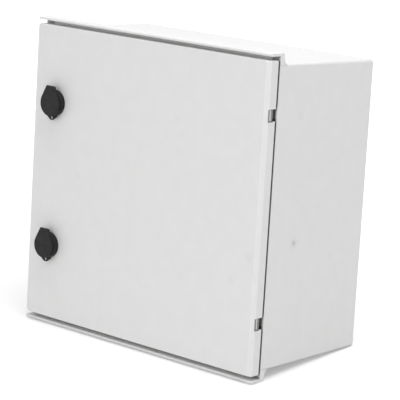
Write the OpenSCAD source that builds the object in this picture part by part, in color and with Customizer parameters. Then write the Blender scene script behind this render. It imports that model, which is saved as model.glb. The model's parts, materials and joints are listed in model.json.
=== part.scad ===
// Wall enclosure of moulded polyester with a hinged door and two quarter-turn locks
// X runs to the right, Y from the front to the wall, Z up
// The origin is the centre of the face that lies on the wall

/* [Body] */
// Width over the side walls
body_w = 400; // [320:5:600]
// Height over the two rain lips
body_h = 400; // [360:5:700]
// Depth from the wall face to the front of the rain lips
body_d = 200; // [140:5:320]
// Thickness of the moulded walls
wall_t = 4; // [3:0.25:5]
// How far each wall leans in from the collar to the back
draft = 2.5; // [1:0.25:6]
// Radius of the edges round the back wall
back_r = 4.5; // [4.5:0.5:12]
// Radius of the long edges at the front of the body
edge_r = 2; // [1.5:0.25:5]

/* [Rain lips] */
// Height of a lip over the top or bottom wall
lip_rise = 13.5; // [11:0.5:20]
// Thickness of a lip
lip_t = 3.3; // [2.5:0.1:4.5]
// Depth of a lip from its front edge to the back of its web
lip_d = 22; // [20:0.5:30]
// Radius of the lip corners seen from above
lip_corner_r = 2; // [1.5:0.5:8]
// How much thicker the web is at its root
web_lean = 2.5; // [1:0.25:4]
// Radius of the fillet behind the web
web_fillet = 4.5; // [2:0.25:7]
// Bevel on the front edges of a lip
lip_bevel = 0.8; // [0.4:0.1:1.2]

/* [Mouth] */
// Thickness of the shoulder behind the door's skirt
shoulder_t = 4; // [3.5:0.25:6]
// Height of the sealing tongue in front of the shoulder
tongue_h = 9; // [7.5:0.25:9.5]
// Thickness of the tongue on the left and right
tongue_t = 3.5; // [2.5:0.25:4.5]
// Corner radius of the mouth
mouth_r = 4; // [2:0.5:8]

/* [Door] */
// How far the door's face stands in front of the lips
door_proud = 2; // [1:0.25:4]
// Thickness of the door's face
door_t = 4; // [3.5:0.25:4.5]
// Depth of the door with its skirt
door_d = 14.75; // [14.5:0.25:17]
// Thickness of the skirt
skirt_t = 3.5; // [2.5:0.25:4]
// Gap between the door and each lip
door_gap = 4.9; // [3:0.1:6]
// Step from a side wall in to the door's skirt
door_inset = 0.3; // [0:0.1:2]
// Gap between the skirt and the shoulder
side_gap = 2.6; // [2:0.1:4]
// Width of the bevel on the door's upright edges
door_bevel = 6.6; // [6:0.1:8]
// Height of the bevel on the door's top and bottom edges
door_edge = 0.6; // [0.3:0.1:2]
// Depth of the bevels behind the door's face
bevel_d = 3; // [2.5:0.1:4]
// Corner radius on the lock side
lock_corner_r = 5; // [2.5:0.5:12]
// Corner radius on the hinge side
hinge_corner_r = 2; // [1:0.25:3]
// Thickness of the stiffening rib inside the door
rib_t = 3; // [2:0.25:4]
// Height of the rib over the face
rib_h = 7; // [4:0.25:8]
// Distance of the rib from the door's hinge edge
rib_from_hinge = 28; // [24:0.5:40]
// Distance of the rib from the top and bottom edges
rib_from_top = 19; // [17:0.5:30]
// Distance of the rib from the lock edge
rib_from_lock = 62; // [61:0.5:80]
// Width of the foam gasket
gasket_w = 7; // [5:0.25:7.5]

/* [Hinges] */
// Distance of each hinge from the body's top or bottom end
hinge_end = 73.3; // [60:0.1:100]
// Depth of the hinge axis behind the door's face
hinge_back = 8.75; // [8.75:0.25:9.25]
// Outside radius of the rolled knuckle
knuckle_r = 4; // [3.5:0.1:4.25]
// Height of the notch in the skirt
notch_h = 14.8; // [12:0.2:20]
// Radius of the hinge pin
pin_r = 2; // [1.5:0.1:2.4]
// Height of a lug
lug_h = 12; // [8:0.5:16]
// Thickness of the bracket sheet
leaf_t = 1.8; // [1.2:0.1:2]
// Height of the bracket leaf
leaf_h = 46; // [42:1:60]
// Distance between the two screws of a bracket
leaf_screw_pitch = 32; // [30:1:34]
// Radius of the bracket screws
leaf_screw_r = 1.9; // [1.5:0.1:2.2]
// Radius of the countersunk heads
leaf_head_r = 3.4; // [2.8:0.1:3.8]
// Length of the bracket screws
leaf_screw_l = 12; // [9:0.5:14]

/* [Locks] */
// Distance of each lock from the body's top or bottom end
lock_end = 106.5; // [80:0.5:130]
// How far the pair of locks sits below the middle of the door
lock_drop = 0.8; // [0:0.1:5]
// Distance of the lock axis from the door's lock edge
lock_in = 41.5; // [40:0.5:42]
// Radius of the flange
flange_r = 16.9; // [16.2:0.1:16.9]
// Thickness of the flange
flange_t = 8.4; // [7.5:0.1:9]
// Radius of the threaded shank
shank_r = 10.9; // [10:0.1:11.5]
// Thickness of the seal under the flange
seal_t = 0.8; // [0.6:0.1:1.5]
// Outside radius of the seal
seal_r = 15; // [14:0.5:16]
// Width of the nut across its flats
nut_af = 27; // [26:0.5:28]
// Thickness of the nut
nut_t = 6; // [4:0.5:8]
// Radius of the rotor
rotor_r = 7; // [6.5:0.1:7.5]
// Radius of the rotor's head
rotor_head_r = 8.5; // [8:0.1:9]
// Radius of the key well in the rotor
key_r = 5; // [4:0.1:5.5]
// Depth of the key well
key_d = 7; // [5:0.5:9]
// Side of the square that carries the cam
square_w = 9; // [8:0.1:9.4]
// Thickness of the cam
cam_t = 3; // [2:0.25:4]
// Reach of the cam from the lock axis
cam_reach = 33; // [31.5:0.5:34]
// Width of the cam
cam_w = 15; // [13.5:0.5:18]

/* [Lock covers] */
// Radius of the round cover
cover_r = 16.6; // [16:0.1:17]
// Thickness of the cover
cover_t = 3.3; // [3:0.1:4]
// Width of the cover's hinge tab
tab_w = 13.2; // [12.6:0.1:15]
// Height of the cover's hinge over the lock axis
cover_hinge_z = 20.4; // [20.2:0.1:21]
// Radius of the cover's hinge barrel
barrel_r = 1.8; // [1.6:0.1:1.8]
// Radius of the cover pin
cover_pin_r = 1; // [0.7:0.05:1.1]
// Distance of the seal eyelet below the lock axis
eye_drop = 18.9; // [18.9:0.1:19.2]
// Length of the eyelet below the middle of its hole
eye_tip = 3; // [2.8:0.1:4]
// Radius of the eyelet's hole
eye_hole_r = 1.9; // [1.4:0.1:1.9]

/* [Fittings] */
// Distance of the mounting plate from the left and right of the body
plate_in_x = 35; // [30:1:90]
// Distance of the mounting plate from the top and bottom walls
plate_in_z = 36.5; // [30:0.5:90]
// Thickness of the mounting plate
plate_t = 2; // [1.5:0.25:4]
// Distance from the plate's edge to its screws
plate_edge = 15; // [10:0.5:25]
// Height of the bosses that carry the plate
boss_h = 14; // [12:0.5:30]
// Radius of the bosses
boss_r = 8; // [6:0.25:10]
// Radius of the brass inserts
insert_r = 4; // [3.6:0.1:5]
// Length of the brass inserts
insert_l = 10; // [8:0.5:11]
// Radius of the plate screws
plate_screw_r = 3; // [2:0.1:3.2]
// Distance of the wall holes from the left and right of the body
wall_hole_in_x = 25; // [25:1:40]
// Distance of the wall holes from the top and bottom walls
wall_hole_in_z = 26.5; // [25:0.5:40]
// Radius of the wall holes
wall_hole_r = 4.25; // [3:0.25:5]
// Radius of the pads round the wall holes
pad_r = 11; // [8:0.5:12]
// Height of the pads
pad_h = 3; // [2:0.25:5]

/* [Hidden] */
$fn = 48;

// Colours
polyester = [0.86, 0.865, 0.86];
foam = [0.20, 0.20, 0.21];
black_plastic = [0.15, 0.15, 0.155];
rubber = [0.08, 0.08, 0.08];
stainless = [0.74, 0.74, 0.73];
zinc = [0.66, 0.67, 0.68];
brass = [0.78, 0.63, 0.30];

// Signs of the upper and the lower hinge or lock
upper = 1;
lower = -1;
both = [lower, upper];

// Clearances and small common sizes
over = 1;
film = 0.01;
run = 0.06;
snug = 0.02;
thread_gap = 0.05;
face_gap = 0.3;
tongue_gap = 0.3;
swing_gap = 0.7;
pocket_gap = 0.25;
leaf_gap = 0.8;
leaf_edge = 3;
catch_gap = 0.4;
corner_steps = 8;
arc_steps = 4;

// Planes from front to back
y_lip = -body_d;
y_face = y_lip - door_proud;
y_door_in = y_face + door_t;
y_skirt = y_face + door_d;
y_rim = y_skirt + side_gap;
y_rim_back = y_rim + shoulder_t;
y_tongue = y_rim - tongue_h;
y_hinge = y_face + hinge_back;

// Outlines of body and door
half_w = body_w / 2;
half_h = body_h / 2;
shell_h = body_h - 2 * lip_rise;
cavity_w = body_w - 2 * wall_t;
cavity_h = shell_h - 2 * wall_t;
door_w = body_w - 2 * door_inset;
door_h = body_h - 2 * (lip_t + door_gap);
face_w = door_w - 2 * door_bevel;
face_h = door_h - 2 * door_edge;
pan_w = door_w - 2 * skirt_t;
pan_h = door_h - 2 * skirt_t;
inner_back_r = max(back_r - wall_t, film);

// Hinge axis and the room that the skirt's rear corner sweeps
hinge_pitch = body_h - 2 * hinge_end;
hinge_x = door_w / 2 - knuckle_r - face_gap;
skirt_swing_r = norm([door_w / 2 - hinge_x, y_skirt - y_hinge]);
tongue_out = hinge_x - skirt_swing_r - swing_gap;
mouth_x = tongue_out - tongue_t;
mouth_z = cavity_h / 2;
knuckle_h = notch_h - 2 * face_gap;
lug_r = knuckle_r + face_gap;
leaf_x0 = tongue_out + leaf_gap;
leaf_x1 = half_w - leaf_edge;
leaf_x = (leaf_x0 + leaf_x1) / 2;
leaf_boss_wall = 2.6;
leaf_boss_floor = 2;
leaf_boss_r = leaf_screw_r + leaf_boss_wall;
leaf_boss_l = leaf_screw_l - shoulder_t + leaf_boss_floor;
countersink = leaf_head_r - leaf_screw_r;

// Gasket over the tongue
gasket_x = tongue_out - tongue_t / 2;
gasket_z = shell_h / 2 - wall_t / 2;

// Lock places, and lock planes measured from the door's face
lock_pitch = body_h - 2 * lock_end;
lock_x = lock_in - door_w / 2;
y_flange = -seal_t - flange_t;
y_cover_back = y_flange - face_gap;
y_cover_front = y_cover_back - cover_t;
rotor_sink = 1;
rotor_head_t = 2;
y_rotor = y_flange + rotor_sink;
y_cam = y_rim_back + catch_gap - y_face;
rotor_free = 4.4;
shank_end = y_cam - rotor_free;
flange_bevel = 0.9;
neck_t = 1.4;
neck_in = 2.3;
thread_p = 2;
thread_d = 0.9;
thread_n = floor((shank_end - door_t) / thread_p);

// Cover hinge, measured from the lock axis and the door's face
barrel_back = 0.4;
y_cover_hinge = y_flange + barrel_back;
tab_rim = 0.4;
tab_top = cover_hinge_z + barrel_r + tab_rim;
lug_half = 3.5;
lug_foot = 6;
lug_drop = 0.6;
ear_gap = 0.4;
cover_bevel = 0.7;
ear_step = 1.2;
ear_out = tab_w / 2 - ear_step;
tab_slope = 0.8;
eye_back = 2.2;
eye_t = 1.6;
eye_root = 9.4;

// Key drive, cam hub and cam screw
bit_pin_r = 1.9;
bit_w = 2;
bit_l = 8;
hub_rim = 2;
hub_r = cam_w / 2 + hub_rim;
cam_tip_r = cam_w / 2 - hub_rim;
cam_screw_r = 2.5;
cam_screw_l = 10;
cam_head_r = 5.5;
cam_head_t = 3.5;

// Mounting plate, its screws and the wall holes
plate_w = body_w - 2 * plate_in_x;
plate_h = shell_h - 2 * plate_in_z;
wall_hole_w = body_w - 2 * wall_hole_in_x;
wall_hole_h = shell_h - 2 * wall_hole_in_z;
plate_corner_r = 5;
plate_head_r = 5.2;
plate_head_t = 4;
plate_screw_x = plate_w / 2 - plate_edge;
plate_screw_z = plate_h / 2 - plate_edge;
y_boss = -wall_t - boss_h;
y_plate = y_boss - plate_t;

// One rounded corner of an outline
function corner(x, z, r, start) = [
    for (i = [0 : corner_steps])
        let (a = start + 90 * i / corner_steps) [x + r * cos(a), z + r * sin(a)]
];

// Rectangle with its own corner radius on the right and on the left
function outline(w, h, right_r, left_r) = concat(
    corner(w / 2 - right_r, h / 2 - right_r, right_r, 0),
    corner(left_r - w / 2, h / 2 - left_r, left_r, 90),
    corner(left_r - w / 2, left_r - h / 2, left_r, 180),
    corner(w / 2 - right_r, right_r - h / 2, right_r, 270)
);

// Flat shape in X and Z drawn out from y0 to y1
module along_y(y0, y1) {
    translate([0, y1, 0]) rotate([90, 0, 0]) linear_extrude(y1 - y0) children();
}

// Rod along Y
module rod_y(r, y0, y1) {
    translate([0, y1, 0]) rotate([90, 0, 0]) cylinder(r = r, h = y1 - y0);
}

// Rod along X, centred
module rod_x(r, l) {
    rotate([0, 90, 0]) cylinder(r = r, h = l, center = true);
}

// Box given by its lowest and highest corner
module box(low, high) {
    translate(low) cube(high - low);
}

// Drafted tray form, rounded round its back end
module tray(y0, y1, w, h, r, r_back) {
    hull() {
        along_y(y0, y0 + film) polygon(outline(w, h, r, r));
        for (i = [0 : arc_steps]) {
            a = 90 * i / arc_steps;
            inset = r_back * (1 - cos(a));
            ring_r = max(r_back - inset, film);
            y = y1 - r_back * (1 - sin(a));
            along_y(y - film, y)
                polygon(outline(w - 2 * (draft + inset), h - 2 * (draft + inset), ring_r, ring_r));
        }
    }
}

// Section of the top rain lip with its web and the fillet behind it
module lip_section() {
    root_z = shell_h / 2;
    y_back = y_lip + lip_d;
    polygon([
        [y_lip + lip_bevel, half_h],
        [y_back - lip_bevel, half_h],
        [y_back, half_h - lip_bevel],
        [y_back + web_lean, root_z],
        [y_back + web_lean, root_z - over],
        [y_rim, root_z - over],
        [y_rim, half_h - lip_t],
        [y_lip + lip_bevel, half_h - lip_t],
        [y_lip, half_h - lip_t + lip_bevel],
        [y_lip, half_h - lip_bevel]
    ]);
    translate([y_back + web_lean - over, root_z - over]) difference() {
        square(web_fillet + over);
        translate([web_fillet + over, web_fillet + over]) circle(web_fillet);
    }
}

// Both rain lips, with rounded corners at their front
module rain_lips() {
    difference() {
        for (side = [0, 1])
            mirror([0, 0, side])
                rotate([90, 0, 90]) linear_extrude(body_w, center = true) lip_section();
        for (side = [0, 1])
            mirror([side, 0, 0]) translate([half_w - lip_corner_r, y_lip + lip_corner_r, 0]) difference() {
                box([0, -lip_corner_r - over, -half_h - over], [lip_corner_r + over, 0, half_h + over]);
                cylinder(r = lip_corner_r, h = 4 * half_h, center = true);
            }
    }
}

// Places of the four plate screws and of the four wall holes
module at_plate_screws() {
    for (x = [-plate_screw_x, plate_screw_x], z = [-plate_screw_z, plate_screw_z])
        translate([x, 0, z]) children();
}

module at_wall_holes() {
    for (x = [-wall_hole_w / 2, wall_hole_w / 2], z = [-wall_hole_h / 2, wall_hole_h / 2])
        translate([x, 0, z]) children();
}

// Places of the hinges, their bracket screws and the locks
module at_hinge(side) {
    translate([hinge_x, y_hinge, side * hinge_pitch / 2]) children();
}

module at_leaf_screws(side) {
    for (s = both)
        translate([leaf_x, y_rim, side * hinge_pitch / 2 + s * leaf_screw_pitch / 2]) children();
}

module at_lock(side) {
    translate([lock_x, y_face, side * lock_pitch / 2 - lock_drop]) children();
}

// Pockets and holes for the hinge brackets
module bracket_cuts() {
    for (side = both) {
        translate([0, 0, side * hinge_pitch / 2])
            box(
                [leaf_x0 - pocket_gap, y_rim - over, -leaf_h / 2 - pocket_gap],
                [leaf_x1 + pocket_gap, y_rim + leaf_t, leaf_h / 2 + pocket_gap]
            );
        at_leaf_screws(side) rod_y(leaf_screw_r + snug, 0, leaf_screw_l);
    }
}

// Moulded tray with lips, bosses and pads
module body_shell() {
    color(polyester) difference() {
        union() {
            difference() {
                union() {
                    tray(y_rim, 0, body_w, shell_h, edge_r, back_r);
                    rain_lips();
                }
                along_y(y_rim - over, y_rim_back + film)
                    polygon(outline(cavity_w, cavity_h, edge_r, edge_r));
                tray(y_rim_back, -wall_t, cavity_w, cavity_h, edge_r, inner_back_r);
            }
            at_plate_screws() rod_y(boss_r, y_boss, -wall_t / 2);
            at_wall_holes() rod_y(pad_r, -wall_t - pad_h, -wall_t / 2);
            for (side = both)
                at_leaf_screws(side) rod_y(leaf_boss_r, shoulder_t, shoulder_t + leaf_boss_l);
        }
        at_plate_screws() rod_y(insert_r + snug, y_boss - over, y_boss + insert_l);
        at_wall_holes() rod_y(wall_hole_r, -wall_t - pad_h - over, over);
        bracket_cuts();
    }
}

// Shoulders on the left and right of the mouth, and the sealing tongue round it
module mouth_frame() {
    color(polyester) difference() {
        union() {
            along_y(y_rim, y_rim_back) polygon(outline(cavity_w, cavity_h, edge_r, edge_r));
            along_y(y_tongue, y_rim) polygon(outline(2 * tongue_out, shell_h, edge_r, edge_r));
        }
        along_y(y_tongue - over, y_rim_back + over)
            polygon(outline(2 * mouth_x, 2 * mouth_z, mouth_r, mouth_r));
        bracket_cuts();
    }
}

// Sheet that carries the equipment
module mounting_plate() {
    color(zinc) difference() {
        along_y(y_plate, y_boss) polygon(outline(plate_w, plate_h, plate_corner_r, plate_corner_r));
        at_plate_screws() rod_y(plate_screw_r + face_gap, y_plate - over, y_boss + over);
    }
}

module plate_screws() {
    color(zinc) at_plate_screws() difference() {
        union() {
            rod_y(plate_head_r, y_plate - plate_head_t, y_plate);
            rod_y(plate_screw_r - thread_gap, y_plate - film, y_boss + insert_l);
        }
        rod_y(plate_screw_r, y_plate - plate_head_t - over, y_plate - plate_head_t / 2, $fn = 6);
    }
}

module plate_inserts() {
    color(brass) at_plate_screws() difference() {
        rod_y(insert_r, y_boss, y_boss + insert_l);
        rod_y(plate_screw_r, y_boss - over, y_boss + insert_l + over);
    }
}

// Bent sheet with a rolled knuckle, let into the shoulder
module hinge_bracket(side) {
    color(stainless) difference() {
        union() {
            translate([0, 0, side * hinge_pitch / 2])
                box([leaf_x0, y_rim, -leaf_h / 2], [leaf_x1, y_rim + leaf_t, leaf_h / 2]);
            at_hinge(side) {
                cylinder(r = knuckle_r, h = knuckle_h, center = true);
                box(
                    [-knuckle_r, 0, -knuckle_h / 2],
                    [leaf_t - knuckle_r, y_rim + leaf_t / 2 - y_hinge, knuckle_h / 2]
                );
            }
        }
        at_hinge(side) cylinder(r = pin_r + run, h = knuckle_h + over, center = true);
        at_leaf_screws(side) {
            rod_y(leaf_screw_r + snug, -over, leaf_t + over);
            rotate([-90, 0, 0])
                cylinder(r1 = leaf_head_r + snug, r2 = leaf_screw_r + snug, h = countersink);
        }
    }
}

module hinge_screws() {
    color(stainless) for (side = both) at_leaf_screws(side) difference() {
        union() {
            rotate([-90, 0, 0]) cylinder(r1 = leaf_head_r, r2 = leaf_screw_r, h = countersink);
            rod_y(leaf_screw_r, countersink - film, leaf_screw_l);
        }
        rod_y(leaf_head_r / 2, -over, countersink, $fn = 6);
    }
}

// Bevelled block, for the door's outside and for its hollow
module bevelled(y0, y1, w0, h0, w1, h1, left_r) {
    hull() {
        along_y(y0, y0 + film) polygon(outline(w0, h0, hinge_corner_r, left_r));
        along_y(y0 + bevel_d, y1) polygon(outline(w1, h1, hinge_corner_r, left_r));
    }
}

module door_block() {
    bevelled(y_face, y_skirt, face_w, face_h, door_w, door_h, lock_corner_r);
}

// Door pan with skirt and hinge lugs
module door_shell() {
    color(polyester) difference() {
        union() {
            difference() {
                door_block();
                bevelled(y_door_in, y_skirt + over, face_w, pan_h, pan_w, pan_h, lock_corner_r - skirt_t / 2);
            }
            intersection() {
                door_block();
                for (side = both) at_hinge(side) for (s = both)
                    translate([0, 0, s * (notch_h + lug_h) / 2]) hinge_lug();
            }
        }
        for (side = both) {
            at_hinge(side) {
                box(
                    [-lug_r, door_t - hinge_back, -notch_h / 2],
                    [knuckle_r + over, door_d, notch_h / 2]
                );
                cylinder(r = pin_r + snug, h = notch_h + 2 * lug_h + over, center = true);
            }
            at_lock(side) rod_y(shank_r + face_gap / 2, -over, door_t + over);
        }
    }
}

// Lug between the door's face and its skirt
module hinge_lug() {
    y_in = y_door_in - y_hinge;
    cylinder(r = lug_r, h = lug_h, center = true);
    box([-lug_r, y_in - door_t / 2, -lug_h / 2], [knuckle_r, 0, lug_h / 2]);
}

// Rib that runs round the inside of the door
module door_rib() {
    low = [rib_from_lock - door_w / 2, rib_from_top - door_h / 2];
    high = [door_w / 2 - rib_from_hinge, door_h / 2 - rib_from_top];
    color(polyester) along_y(y_door_in, y_door_in + rib_h) difference() {
        translate(low - [rib_t, rib_t] / 2) square(high - low + [rib_t, rib_t]);
        translate(low + [rib_t, rib_t] / 2) square(high - low - [rib_t, rib_t]);
    }
}

// Foam strip that the tongue presses
module door_gasket() {
    outer = [gasket_x + gasket_w / 2, gasket_z + gasket_w / 2] * 2;
    inner = [gasket_x - gasket_w / 2, gasket_z - gasket_w / 2] * 2;
    color(foam) along_y(y_door_in, y_tongue - tongue_gap) difference() {
        polygon(outline(outer[0], outer[1], mouth_r, mouth_r));
        polygon(outline(inner[0], inner[1], mouth_r, mouth_r));
    }
}

module hinge_pin(side) {
    color(stainless) at_hinge(side) cylinder(r = pin_r, h = notch_h + 2 * lug_h, center = true);
}

// Flange with a groove behind the cover, threaded shank, cover lug and broad seal eyelet
module lock_housing(side) {
    color(black_plastic) at_lock(side) difference() {
        union() {
            rotate([-90, 0, 0]) rotate_extrude()
                polygon([
                    [0, y_flange],
                    [flange_r - neck_in, y_flange],
                    [flange_r - neck_in, y_flange + neck_t],
                    [flange_r - flange_bevel, y_flange + neck_t],
                    [flange_r, y_flange + neck_t + flange_bevel],
                    [flange_r, -seal_t],
                    [shank_r, -seal_t],
                    for (i = [thread_n : -1 : 1]) each [
                        [shank_r, shank_end - i * thread_p],
                        [shank_r - thread_d, shank_end - (i - 1 / 2) * thread_p]
                    ],
                    [shank_r, shank_end],
                    [0, shank_end]
                ]);
            translate([0, y_cover_hinge, cover_hinge_z]) {
                rod_x(barrel_r, 2 * lug_half);
                box([-lug_half, -barrel_back, -lug_foot], [lug_half, flange_t / 2, -lug_drop]);
            }
            along_y(y_flange + eye_back, y_flange + eye_back + eye_t)
                polygon([
                    [-eye_root, -flange_r * 4 / 5],
                    [-eye_root, eye_hole_r - eye_drop],
                    [-eye_tip * 3 / 4, -eye_drop - eye_tip],
                    [eye_tip * 3 / 4, -eye_drop - eye_tip],
                    [eye_root, eye_hole_r - eye_drop],
                    [eye_root, -flange_r * 4 / 5]
                ]);
        }
        rod_y(rotor_r + run, y_flange - over, shank_end + over);
        rod_y(rotor_head_r + run, y_flange - over, y_rotor + rotor_head_t);
        translate([0, y_cover_hinge, cover_hinge_z]) rod_x(cover_pin_r + run, 2 * lug_half + over);
        translate([0, 0, -eye_drop]) rod_y(eye_hole_r, y_flange - over, over);
    }
}

module lock_seal(side) {
    color(rubber) at_lock(side) difference() {
        rod_y(seal_r, -seal_t, 0);
        rod_y(shank_r + face_gap / 2, -seal_t - over, over);
    }
}

module lock_nut(side) {
    color(black_plastic) at_lock(side) difference() {
        rod_y(nut_af / sqrt(3), door_t, door_t + nut_t, $fn = 6);
        rod_y(shank_r + thread_gap, door_t - over, door_t + nut_t + over);
    }
}

// Rotor with its key well at the front and its square at the back
module lock_rotor(side) {
    color(zinc) at_lock(side) difference() {
        union() {
            difference() {
                union() {
                    rod_y(rotor_head_r, y_rotor, y_rotor + rotor_head_t);
                    rod_y(rotor_r, y_rotor, y_cam);
                }
                rod_y(key_r, y_rotor - over, y_rotor + key_d);
            }
            rod_y(bit_pin_r, y_rotor, y_rotor + key_d + film);
            box([-bit_l / 2, y_rotor, -bit_w / 2], [bit_l / 2, y_rotor + key_d + film, bit_w / 2]);
            box([-square_w / 2, y_cam - film, -square_w / 2], [square_w / 2, y_cam + cam_t, square_w / 2]);
        }
        rod_y(cam_screw_r, y_cam + cam_t - cam_screw_l, y_cam + cam_t + over);
    }
}

// Flat cam that hangs down when the lock is open
module lock_cam(side) {
    hole_w = square_w + 2 * thread_gap;
    color(zinc) at_lock(side) along_y(y_cam, y_cam + cam_t) difference() {
        union() {
            circle(hub_r);
            translate([0, cam_tip_r - cam_reach]) circle(cam_tip_r);
            polygon([
                [-hub_r, 0],
                [-cam_tip_r, cam_tip_r - cam_reach],
                [cam_tip_r, cam_tip_r - cam_reach],
                [hub_r, 0]
            ]);
        }
        square(hole_w, center = true);
    }
}

module cam_screw(side) {
    y_head = y_cam + cam_t;
    color(zinc) at_lock(side) difference() {
        union() {
            rod_y(cam_head_r, y_head, y_head + cam_head_t);
            rod_y(cam_screw_r - thread_gap, y_head - cam_screw_l, y_head + film);
        }
        rod_y(cam_screw_r, y_head + cam_head_t / 2, y_head + cam_head_t + over, $fn = 6);
    }
}

// Round dust cover with a tab and two hinge ears
module lock_cover(side) {
    ear_in = lug_half + ear_gap;
    color(black_plastic) at_lock(side) difference() {
        union() {
            hull() {
                along_y(y_cover_front, y_cover_front + film) circle(cover_r - cover_bevel);
                along_y(y_cover_front + cover_bevel, y_cover_back) circle(cover_r);
                box(
                    [-tab_w / 2, y_cover_front + tab_slope, tab_top - barrel_r],
                    [tab_w / 2, y_cover_back, tab_top]
                );
            }
            translate([0, y_cover_hinge, cover_hinge_z]) rod_x(barrel_r, 2 * ear_out);
        }
        translate([0, y_cover_hinge, cover_hinge_z]) {
            rod_x(barrel_r + face_gap, 2 * ear_in);
            rod_x(cover_pin_r + snug, tab_w + over);
        }
    }
}

module cover_pin(side) {
    color(stainless) at_lock(side) translate([0, y_cover_hinge, cover_hinge_z])
        rod_x(cover_pin_r, 2 * ear_out);
}

body_shell();
mouth_frame();
mounting_plate();
plate_screws();
plate_inserts();
hinge_bracket(upper);  // hinge_bracket_upper
hinge_bracket(lower);  // hinge_bracket_lower
hinge_screws();
door_shell();
door_rib();
door_gasket();
hinge_pin(upper);  // hinge_pin_upper
hinge_pin(lower);  // hinge_pin_lower
lock_housing(upper);  // lock_housing_upper
lock_housing(lower);  // lock_housing_lower
lock_seal(upper);  // lock_seal_upper
lock_seal(lower);  // lock_seal_lower
lock_nut(upper);  // lock_nut_upper
lock_nut(lower);  // lock_nut_lower
lock_rotor(upper);  // lock_rotor_upper
lock_rotor(lower);  // lock_rotor_lower
lock_cam(upper);  // lock_cam_upper
lock_cam(lower);  // lock_cam_lower
cam_screw(upper);  // cam_screw_upper
cam_screw(lower);  // cam_screw_lower
lock_cover(upper);  // lock_cover_upper
lock_cover(lower);  // lock_cover_lower
cover_pin(upper);  // cover_pin_upper
cover_pin(lower);  // cover_pin_lower
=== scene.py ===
import json
import math

import bmesh
import bpy
from mathutils import Matrix, Vector


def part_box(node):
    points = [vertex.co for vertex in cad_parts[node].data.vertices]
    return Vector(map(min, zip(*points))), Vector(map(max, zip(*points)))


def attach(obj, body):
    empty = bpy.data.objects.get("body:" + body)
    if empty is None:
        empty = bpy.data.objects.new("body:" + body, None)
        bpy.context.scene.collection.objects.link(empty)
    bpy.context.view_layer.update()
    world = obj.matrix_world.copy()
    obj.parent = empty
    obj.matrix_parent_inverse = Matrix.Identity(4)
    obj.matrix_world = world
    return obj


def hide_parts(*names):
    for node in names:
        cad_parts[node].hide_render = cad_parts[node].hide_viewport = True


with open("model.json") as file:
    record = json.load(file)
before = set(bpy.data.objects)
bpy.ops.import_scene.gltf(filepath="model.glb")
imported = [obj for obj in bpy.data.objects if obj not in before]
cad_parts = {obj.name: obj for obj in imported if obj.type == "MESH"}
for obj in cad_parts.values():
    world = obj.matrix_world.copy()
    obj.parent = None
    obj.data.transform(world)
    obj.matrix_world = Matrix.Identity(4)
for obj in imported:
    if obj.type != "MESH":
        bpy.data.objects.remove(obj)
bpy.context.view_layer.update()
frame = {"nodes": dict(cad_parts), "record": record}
nodes = frame["nodes"]

# All lengths are in metres, in the part's frame: x to the right, -y to the front, z up.

# Scuffs on the moulding: place, inner and outer radius, strength
SCUFFS = [
    ((0.1992, -0.1368, -0.0338), 0.0012, 0.0042, 0.62),
    ((0.1992, -0.1368, -0.0338), 0.0030, 0.0095, 0.18),
    ((0.1993, -0.1400, 0.1219), 0.0020, 0.0075, 0.10),
    ((0.1850, -0.2020, -0.0466), 0.0020, 0.0090, 0.09),
    ((0.1586, -0.2020, -0.0798), 0.0020, 0.0080, 0.08),
    ((-0.1125, -0.2020, 0.0045), 0.0020, 0.0080, 0.06),
    ((0.0551, -0.2020, 0.1005), 0.0030, 0.0100, 0.05),
]

# Height of the hinges above and below the middle
HINGE_Z = 0.1267

# Where a mask of painted shade rises or falls: two places along x, y or z
GAP_ENDS_Z = (0.1966, 0.1968)
GAP_FRONT_Y = (-0.2014, -0.2008)
SHOULDER_ENDS_Z = (0.1964, 0.1968)
SHOULDER_X = (0.1840, 0.1880)
SHOULDER_FRONT_Y = (-0.1905, -0.1880)
SHOULDER_BACK_Y = (-0.1835, -0.1825)
NOTCH_X = (0.1885, 0.1895)
NOTCH_FRONT_Y = (-0.1992, -0.1984)
RIM_X = (0.1984, 0.1988)
RIM_BACK_Y = (-0.1915, -0.1905)
SHADE_BAND_FRONT_Y = (-0.1953, -0.1948)
SHADE_BAND_BACK_Y = (-0.1890, -0.1880)

# The same along z, counted from a hinge's middle
NOTCH_HALF_Z = (0.0078, 0.0088)
RIM_BELOW_Z = (-0.0083, -0.0079)
RIM_ABOVE_Z = (0.0070, 0.0074)

POLYESTER_DARK = (0.745, 0.748, 0.742)
POLYESTER_LIGHT = (0.765, 0.768, 0.763)
FIBRE = (0.71, 0.715, 0.71)
SPECK = (0.52, 0.52, 0.51)
SCUFF = (0.40, 0.40, 0.39)
# Colour of the painted highlight along the moulding's edges
PAINTED_EDGE_HIGHLIGHT = (0.84, 0.84, 0.835)
# Colour of the painted shade in the gaps round the door and at the hinge notches
PAINTED_SHADE = (0.10, 0.10, 0.098)
# Colour of the painted shade and dark reflection on the hinge metal
PAINTED_METAL_SHADE = (0.035, 0.035, 0.034)

PLASTIC_DARK = (0.013, 0.0135, 0.0135)
PLASTIC_WORN = (0.020, 0.021, 0.020)
# Colour of the painted highlight along the plastic's edges
PLASTIC_EDGE_HIGHLIGHT = (0.05, 0.05, 0.05)
PLASTIC_GLOSS = 0.22

FOAM_DARK = (0.018, 0.018, 0.019)
FOAM_LIGHT = (0.045, 0.045, 0.047)
RUBBER_DARK = (0.012, 0.012, 0.012)
RUBBER_BLOOM = (0.03, 0.03, 0.03)

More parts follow.
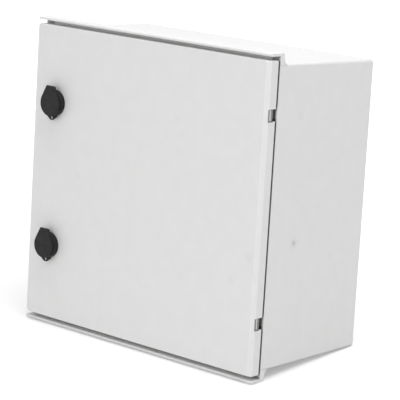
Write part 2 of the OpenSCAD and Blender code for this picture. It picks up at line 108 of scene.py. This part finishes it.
# Metals: dark and light colour, roughness, grain along x, y and z, spangle, strength of painted
# shade
METALS = {
    "stainless": ((0.48, 0.48, 0.47), (0.66, 0.66, 0.65), 0.24, (2600, 2600, 160), 0.0, 0.74),
    "galvanised": ((0.30, 0.31, 0.32), (0.46, 0.47, 0.48), 0.42, (700, 700, 300), 0.25, 0.0),
    "zinc_alloy": ((0.24, 0.24, 0.25), (0.38, 0.38, 0.39), 0.40, (900, 900, 900), 0.0, 0.0),
    "brass": ((0.50, 0.33, 0.10), (0.66, 0.47, 0.18), 0.32, (1500, 1500, 1500), 0.0, 0.0),
}

# Foam bead: width, corner radius and spacing of its sections, and half of a section
# as shares of the width and the height, from the foot to the tongue's mark
BEAD_WIDTH = 0.007
BEAD_CORNER = 0.004
BEAD_STEP = 0.006
CORNER_TURNS = 8
HALF_SECTION = [
    (0.5, 0.0), (0.5, 0.30), (0.46, 0.55), (0.38, 0.78),
    (0.28, 0.93), (0.22, 0.985), (0.17, 0.94),
]
MARK_HEIGHT = 0.925

# The box stands on its bottom lip and its rear edge, so the floor leans against its frame
FLOOR_TILT = math.radians(5.239)
FLOOR_PLACE = (0.0, -0.1788, -0.2002)
FLOOR_HALF = 9
FLOOR_GREY = 0.80

# What brings the floor up to white: near share, far share, and the distances between
LIFT_NEAR, LIFT_FAR = 0.26, 1.0
LIFT_FROM, LIFT_TO = 0.3, 2.5

SKY_STRENGTH = 0.59
BACKGROUND_STRENGTH = 1.0

# Lamps: name, place, width, power
LAMPS = [
    ("top_light", (0.0, -0.3, 2.4), 1.6, 20.7),
    ("corner_light", (1.2, -0.5, 2.2), 1.4, 17.2),
    ("front_light", (0.6, -2.4, 0.5), 1.2, 9.8),
]
LAMP_AIM = (0, -0.1, 0)

CAMERA_PLACE = (1.7607, -2.0430, 0.4837)
CAMERA_RIGHT = (0.7341, 0.6766, 0.0580)
CAMERA_UP = (-0.16950, 0.09984, 0.98046)
CAMERA_AHEAD = (-0.65755, 0.72959, -0.18797)
SENSOR_MM = 36.0
LENS_MM = 186.74


class Shader:
    """A material with a Principled shader and short calls for the nodes round it."""

    def __init__(self, name):
        self.mat = bpy.data.materials.new(name)
        self.mat.use_nodes = True
        self.tree = self.mat.node_tree
        self.bsdf = self.tree.nodes["Principled BSDF"]
        self.coord = self.tree.nodes.new("ShaderNodeTexCoord").outputs["Object"]

    def node(self, kind, **inputs):
        made = self.tree.nodes.new(kind)
        for key, value in inputs.items():
            self.put(made.inputs[key.replace("_", " ")], value)
        return made

    def put(self, socket, value):
        if isinstance(value, bpy.types.NodeSocket):
            self.tree.links.new(value, socket)
        else:
            socket.default_value = value

    def set(self, **inputs):
        for key, value in inputs.items():
            self.put(self.bsdf.inputs[key.replace("_", " ")], value)

    def noise(self, scale, detail=3.0, rough=0.5, vector=None):
        made = self.node("ShaderNodeTexNoise", Scale=scale, Detail=detail, Roughness=rough)
        self.put(made.inputs["Vector"], vector or self.coord)
        return made.outputs["Fac"]

    def cells(self, scale, output="Distance"):
        made = self.node("ShaderNodeTexVoronoi", Scale=scale, Vector=self.coord)
        return made.outputs[output]

    def stretch(self, x, y, z):
        made = self.node("ShaderNodeMapping", Vector=self.coord, Scale=(x, y, z))
        return made.outputs["Vector"]

    def axes(self):
        made = self.node("ShaderNodeSeparateXYZ", Vector=self.coord)
        return [made.outputs[name] for name in "XYZ"]

    def math(self, op, a, b=0.0):
        made = self.tree.nodes.new("ShaderNodeMath")
        made.operation = op
        self.put(made.inputs[0], a)
        self.put(made.inputs[1], b)
        return made.outputs[0]

    def times(self, first, *rest):
        for value in rest:
            first = self.math("MULTIPLY", first, value)
        return first

    def most(self, first, *rest):
        for value in rest:
            first = self.math("MAXIMUM", first, value)
        return first

    def ramp(self, value, low, high, to_low=0.0, to_high=1.0):
        made = self.tree.nodes.new("ShaderNodeMapRange")
        made.interpolation_type = "SMOOTHSTEP"
        for i, v in enumerate((value, low, high, to_low, to_high)):
            self.put(made.inputs[i], v)
        return made.outputs[0]

    def rise(self, value, span, top=1.0):
        return self.ramp(value, *span, 0.0, top)

    def fall(self, value, span, top=1.0):
        return self.ramp(value, *span, top, 0.0)

    def mix(self, factor, a, b):
        made = self.tree.nodes.new("ShaderNodeMix")
        made.data_type = "RGBA"
        self.put(made.inputs[0], factor)
        for socket, value in ((made.inputs[6], a), (made.inputs[7], b)):
            linked = isinstance(value, bpy.types.NodeSocket)
            self.put(socket, value if linked else (*value, 1.0))
        return made.outputs[2]

    def near(self, point, inner, outer):
        """1 inside the inner distance from a point, falling to 0 at the outer one."""
        made = self.tree.nodes.new("ShaderNodeVectorMath")
        made.operation = "DISTANCE"
        self.put(made.inputs[0], self.coord)
        made.inputs[1].default_value = point
        return self.fall(made.outputs["Value"], (inner, outer))

    def rounded(self, radius):
        """The normal with edges rounded by a radius, and a mask of those edges."""
        made = self.node("ShaderNodeBevel", Radius=radius)
        made.samples = 6
        soft = made.outputs["Normal"]
        geo = self.tree.nodes.new("ShaderNodeNewGeometry")
        dot = self.tree.nodes.new("ShaderNodeVectorMath")
        dot.operation = "DOT_PRODUCT"
        self.put(dot.inputs[0], soft)
        self.put(dot.inputs[1], geo.outputs["Normal"])
        return soft, self.ramp(dot.outputs["Value"], 0.995, 0.93)

    def crevice(self, distance, low, high):
        """1 in gaps narrower than about the distance, 0 in the open."""
        made = self.node("ShaderNodeAmbientOcclusion", Distance=distance)
        made.samples = 12
        return self.fall(made.outputs["AO"], (low, high))

    def bump(self, *layers, normal=None):
        """Each layer is a height socket, a strength and a distance."""
        last = normal
        for height, strength, distance in layers:
            made = self.node("ShaderNodeBump", Strength=strength, Distance=distance)
            self.put(made.inputs["Height"], height)
            if last is not None:
                self.put(made.inputs["Normal"], last)
            last = made.outputs["Normal"]
        self.put(self.bsdf.inputs["Normal"], last)


def painted_gap_shade(s):
    """Painted shade: darker in narrow gaps round the door, on the shoulder behind it, at the
    hinge notches and along the notch edges.
    """
    x, y, z = s.axes()
    height = s.math("ABSOLUTE", z)
    gap = s.times(
        s.crevice(0.0032, 0.30, 0.70),
        s.fall(height, GAP_ENDS_Z, 0.76),
        s.rise(y, GAP_FRONT_Y),
    )
    shoulder = s.times(
        s.crevice(0.0060, 0.50, 0.85),
        s.fall(height, SHOULDER_ENDS_Z, 0.95),
        s.rise(s.math("ABSOLUTE", x), SHOULDER_X),
        s.rise(y, SHOULDER_FRONT_Y),
        s.fall(y, SHOULDER_BACK_Y),
    )
    from_hinge = s.math("ABSOLUTE", s.math("SUBTRACT", height, HINGE_Z))
    notch = s.times(
        s.crevice(0.0030, 0.40, 0.90),
        s.fall(from_hinge, NOTCH_HALF_Z, 0.9),
        s.rise(x, NOTCH_X),
        s.rise(y, NOTCH_FRONT_Y),
    )
    # Painted shadow: a dark rim along the edges of each hinge notch
    spans = []
    for hinge in (HINGE_Z, -HINGE_Z):
        from_middle = s.math("SUBTRACT", z, hinge)
        spans.append(s.times(s.rise(from_middle, RIM_BELOW_Z), s.fall(from_middle, RIM_ABOVE_Z)))
    rim = s.times(s.most(*spans), s.rise(x, RIM_X, 0.80), s.fall(y, RIM_BACK_Y))
    return s.most(gap, shoulder, notch, rim)


def polyester():
    s = Shader("polyester")
    mottle = s.noise(45.0, 5.0, 0.6)
    fibre = s.noise(1.0, 4.0, 0.65, s.stretch(420.0, 420.0, 1500.0))
    speck = s.fall(s.cells(330.0), (0.05, 0.12))
    rare = s.ramp(s.noise(70.0, 2.0), 0.62, 0.70)
    colour = s.mix(s.ramp(mottle, 0.3, 0.7), POLYESTER_DARK, POLYESTER_LIGHT)
    colour = s.mix(s.ramp(fibre, 0.45, 0.75, 0.0, 0.25), colour, FIBRE)
    colour = s.mix(s.times(speck, rare, 0.35), colour, SPECK)
    broken = s.ramp(s.noise(700.0, 3.0), 0.25, 0.6, 0.4, 1.0)
    for place, inner, outer, strength in SCUFFS:
        spot = s.times(s.near(place, inner, outer), strength, broken)
        colour = s.mix(spot, colour, SCUFF)
    soft, highlight_mask = s.rounded(0.0007)
    # Painted highlight: edges made paler in the base colour, standing in for the light they
    # catch
    colour = s.mix(s.times(highlight_mask, 0.5), colour, PAINTED_EDGE_HIGHLIGHT)
    # Painted shade: the gaps round the door, the shoulder and the hinge notches darkened in the
    # base colour
    colour = s.mix(painted_gap_shade(s), colour, PAINTED_SHADE)
    s.set(Base_Color=colour, Roughness=s.ramp(mottle, 0.25, 0.75, 0.40, 0.50))
    waves, grain = s.noise(26.0, 3.0), s.noise(900.0, 2.0)
    s.bump((waves, 0.08, 0.004), (grain, 0.06, 0.0004), normal=soft)
    return s.mat


def black_plastic():
    s = Shader("black_plastic")
    wear = s.ramp(s.noise(160.0, 4.0), 0.5, 0.75)
    soft, highlight_mask = s.rounded(0.0004)
    colour = s.mix(wear, PLASTIC_DARK, PLASTIC_WORN)
    # Painted highlight: edges made lighter in the base colour
    s.set(
        Base_Color=s.mix(s.times(highlight_mask, 0.3), colour, PLASTIC_EDGE_HIGHLIGHT),
        Roughness=s.ramp(s.noise(220.0, 4.0), 0.3, 0.7, 0.50, 0.64),
        Specular_IOR_Level=PLASTIC_GLOSS,
    )
    s.bump((s.noise(2600.0, 2.0), 0.25, 0.0002), normal=soft)
    return s.mat


def foam():
    s = Shader("foam")
    pores = s.cells(1600.0)
    s.set(Base_Color=s.mix(s.ramp(pores, 0.1, 0.5), FOAM_DARK, FOAM_LIGHT), Roughness=0.9)
    s.bump((pores, 0.6, 0.0004), (s.noise(180.0, 3.0), 0.3, 0.0008))
    return s.mat


def rubber():
    s = Shader("rubber")
    bloom = s.ramp(s.noise(240.0, 4.0), 0.45, 0.75)
    s.set(Base_Color=s.mix(bloom, RUBBER_DARK, RUBBER_BLOOM), Roughness=0.75)
    s.bump((s.noise(1800.0, 2.0), 0.2, 0.0002))
    return s.mat


def metal(name, dark, light, rough, grain, spangle, painted_shade_strength):
    """Rolled, plated or cast metal: fine lines along the grain, slow spots, spangle, and painted
    shade over a band and in crevices.
    """
    s = Shader(name)
    lines = s.noise(1.0, 5.0, 0.6, s.stretch(*grain))
    spots = s.noise(90.0, 4.0)
    tone = s.math("ADD", s.times(lines, 0.6), s.times(spots, 0.4))
    if spangle:
        tone = s.math("ADD", tone, s.times(s.cells(260.0, "Color"), spangle))
    colour = s.mix(s.ramp(tone, 0.3, 0.75), dark, light)
    # Painted shade and dark reflection: a band over the rear of the part and its crevices
    # darkened in the base colour
    if painted_shade_strength:
        y = s.axes()[1]
        shaded_band = s.times(s.rise(y, SHADE_BAND_FRONT_Y), s.fall(y, SHADE_BAND_BACK_Y))
        shaded_band = s.most(shaded_band, s.crevice(0.0040, 0.40, 0.90))
        colour = s.mix(s.times(shaded_band, painted_shade_strength), colour, PAINTED_METAL_SHADE)
    s.set(
        Base_Color=colour,
        Roughness=s.ramp(lines, 0.3, 0.7, rough - 0.06, rough + 0.08),
        Metallic=1.0,
    )
    s.bump((lines, 0.08, 0.0002), normal=s.rounded(0.0003)[0])
    return s.mat


looks = {
    "polyester": polyester(),
    "black_plastic": black_plastic(),
    "foam": foam(),
    "rubber": rubber(),
}
for metal_name, values in METALS.items():
    looks[metal_name] = metal(metal_name, *values)
for part in frame["record"]["subparts"]:
    obj = nodes[part["node"]]
    obj.data.materials.clear()
    obj.data.materials.append(looks[part["material_slot"]])


def rounded_path(half_x, half_z, radius, step):
    """Points round a rectangle with rounded corners, each with its outward direction."""
    path = []
    corners = ((1, 1, 0.0), (-1, 1, 0.5), (-1, -1, 1.0), (1, -1, 1.5))
    for i, (sx, sz, start) in enumerate(corners):
        cx, cz = sx * (half_x - radius), sz * (half_z - radius)
        for k in range(CORNER_TURNS + 1):
            a = math.pi * (start + 0.5 * k / CORNER_TURNS)
            out = math.cos(a), math.sin(a)
            path.append(((cx + radius * out[0], cz + radius * out[1]), out))
        sx, sz, start = corners[(i + 1) % 4]
        (x0, z0), out = path[-1]
        x1 = sx * (half_x - radius) + radius * math.cos(math.pi * start)
        z1 = sz * (half_z - radius) + radius * math.sin(math.pi * start)
        count = max(int(math.hypot(x1 - x0, z1 - z0) / step), 2)
        for k in range(1, count):
            t = k / count
            path.append(((x0 + (x1 - x0) * t, z0 + (z1 - z0) * t), out))
    return path


def swell(run):
    """How full the bead is at a distance along it."""
    slow, quick = math.sin(run * 61.0), math.sin(run * 173.0 + 1.0)
    return 1.0 - 0.012 * (1 + slow) - 0.010 * (1 + quick)


def gasket():
    """A poured foam bead: crowned, a little uneven, with the tongue's mark along its crown."""
    low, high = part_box("door_gasket")
    height = high[1] - low[1]
    half_x, half_z = ((high[i] - low[i] - BEAD_WIDTH) / 2 for i in (0, 2))
    path = rounded_path(half_x, half_z, BEAD_CORNER, BEAD_STEP)
    section = [(-across, up) for across, up in HALF_SECTION]
    section += [(0.0, MARK_HEIGHT)] + HALF_SECTION[::-1]
    verts, faces = [], []
    run = 0.0
    for i, ((x, z), (ox, oz)) in enumerate(path):
        if i:
            run += math.hypot(x - path[i - 1][0][0], z - path[i - 1][0][1])
        full = swell(run)
        for across, up in section:
            wide = across * BEAD_WIDTH * full
            verts.append((x + ox * wide, low[1] + up * height * full, z + oz * wide))
    n, m = len(path), len(section)
    for i in range(n):
        here, there = i * m, (i + 1) % n * m
        for j in range(m):
            k = (j + 1) % m
            faces.append((here + j, here + k, there + k, there + j))
    mesh = bpy.data.meshes.new("gasket_bead")
    mesh.from_pydata(verts, [], faces)
    mesh.validate()
    made = bmesh.new()
    made.from_mesh(mesh)
    bmesh.ops.recalc_face_normals(made, faces=made.faces)
    for face in made.faces:
        face.smooth = True
    made.to_mesh(mesh)
    made.free()
    piece = bpy.data.objects.new("gasket_bead", mesh)
    bpy.context.scene.collection.objects.link(piece)
    mesh.materials.append(looks["foam"])
    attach(piece, "door")
    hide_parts("door_gasket")


gasket()


def seen_straight(tree):
    """1 for rays from the camera, in a reflection or through glass, 0 for the rest."""
    path = tree.nodes.new("ShaderNodeLightPath")
    last = path.outputs["Is Camera Ray"]
    for name in ("Is Glossy Ray", "Is Transmission Ray"):
        larger = tree.nodes.new("ShaderNodeMath")
        larger.operation = "MAXIMUM"
        tree.links.new(last, larger.inputs[0])
        tree.links.new(path.outputs[name], larger.inputs[1])
        last = larger.outputs[0]
    return last


def floor_material():
    """Pale floor that takes a shadow, and is lifted to white more and more with distance."""
    made = bpy.data.materials.new("floor")
    made.use_nodes = True
    tree = made.node_tree
    tree.nodes.clear()
    out = tree.nodes.new("ShaderNodeOutputMaterial")
    diffuse = tree.nodes.new("ShaderNodeBsdfDiffuse")
    diffuse.inputs["Color"].default_value = (FLOOR_GREY, FLOOR_GREY, FLOOR_GREY, 1)
    glow = tree.nodes.new("ShaderNodeEmission")
    spot = tree.nodes.new("ShaderNodeTexCoord")
    reach = tree.nodes.new("ShaderNodeVectorMath")
    reach.operation = "LENGTH"
    fade = tree.nodes.new("ShaderNodeMapRange")
    for i, value in enumerate((LIFT_FROM, LIFT_TO, LIFT_NEAR, LIFT_FAR), 1):
        fade.inputs[i].default_value = value
    lift = tree.nodes.new("ShaderNodeMath")
    lift.operation = "MULTIPLY"
    both = tree.nodes.new("ShaderNodeAddShader")
    for start, end in (
        (spot.outputs["Object"], reach.inputs[0]),
        (reach.outputs["Value"], fade.inputs[0]),
        (seen_straight(tree), lift.inputs[0]),
        (fade.outputs[0], lift.inputs[1]),
        (lift.outputs[0], glow.inputs["Strength"]),
        (diffuse.outputs[0], both.inputs[0]),
        (glow.outputs[0], both.inputs[1]),
        (both.outputs[0], out.inputs["Surface"]),
    ):
        tree.links.new(start, end)
    return made


floor_mesh = bpy.data.meshes.new("floor")
corners = [(x * FLOOR_HALF, y * FLOOR_HALF, 0) for x, y in ((-1, -1), (1, -1), (1, 1), (-1, 1))]
floor_mesh.from_pydata(corners, [], [(0, 1, 2, 3)])
floor_mesh.materials.append(floor_material())
floor = bpy.data.objects.new("floor", floor_mesh)
floor.matrix_world = Matrix.Translation(FLOOR_PLACE) @ Matrix.Rotation(FLOOR_TILT, 4, "X")
bpy.context.scene.collection.objects.link(floor)

world = bpy.data.worlds.new("studio")
bpy.context.scene.world = world
world.use_nodes = True
tree = world.node_tree
tree.nodes.clear()
out = tree.nodes.new("ShaderNodeOutputWorld")
swap = tree.nodes.new("ShaderNodeMixShader")
tree.links.new(seen_straight(tree), swap.inputs[0])
for i, strength in enumerate((SKY_STRENGTH, BACKGROUND_STRENGTH), 1):
    light = tree.nodes.new("ShaderNodeBackground")
    light.inputs["Color"].default_value = (1, 1, 1, 1)
    light.inputs["Strength"].default_value = strength
    tree.links.new(light.outputs[0], swap.inputs[i])
tree.links.new(swap.outputs[0], out.inputs["Surface"])

for name, place, width, power in LAMPS:
    data = bpy.data.lights.new(name, "AREA")
    data.shape = "DISK"
    data.size = width
    data.energy = power
    lamp = bpy.data.objects.new(name, data)
    lamp.location = place
    lamp.rotation_euler = (Vector(LAMP_AIM) - Vector(place)).to_track_quat("-Z", "Y").to_euler()
    bpy.context.scene.collection.objects.link(lamp)

lens = bpy.data.cameras.new("camera")
lens.sensor_width = SENSOR_MM
lens.lens = LENS_MM
lens.clip_start, lens.clip_end = 0.1, 60.0
camera = bpy.data.objects.new("camera", lens)
turn = Matrix((CAMERA_RIGHT, CAMERA_UP, -Vector(CAMERA_AHEAD))).transposed().to_4x4()
camera.matrix_world = Matrix.Translation(CAMERA_PLACE) @ turn
bpy.context.scene.collection.objects.link(camera)
bpy.context.scene.camera = camera
bpy.context.scene.view_settings.view_transform = "Standard"
